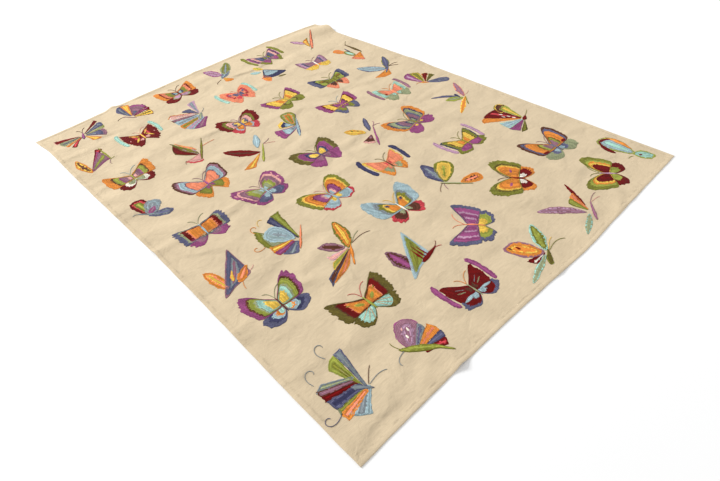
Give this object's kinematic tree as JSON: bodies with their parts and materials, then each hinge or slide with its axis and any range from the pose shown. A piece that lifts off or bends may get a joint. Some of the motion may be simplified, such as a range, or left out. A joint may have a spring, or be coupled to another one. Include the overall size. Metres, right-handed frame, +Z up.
{
  "type": "suzani kilim rug",
  "caption": "Flat-woven cream wool rug lying on a floor, with soft fold creases, a narrow turned hem and an all-over embroidery of butterflies.",
  "frame": {"origin": "middle of the rug's box, on the floor it lies on", "axes": "+X along the short sides, +Y along the long sides, the way the butterflies' heads point, +Z up"},
  "size_m": [2.4026, 3.1018, 0.0275],
  "materials": {
    "cloth": "matt undyed wool, flat woven"
  },
  "bodies": {
    "root": {"rug_cloth": "cloth"}
  },
  "joints": []
}
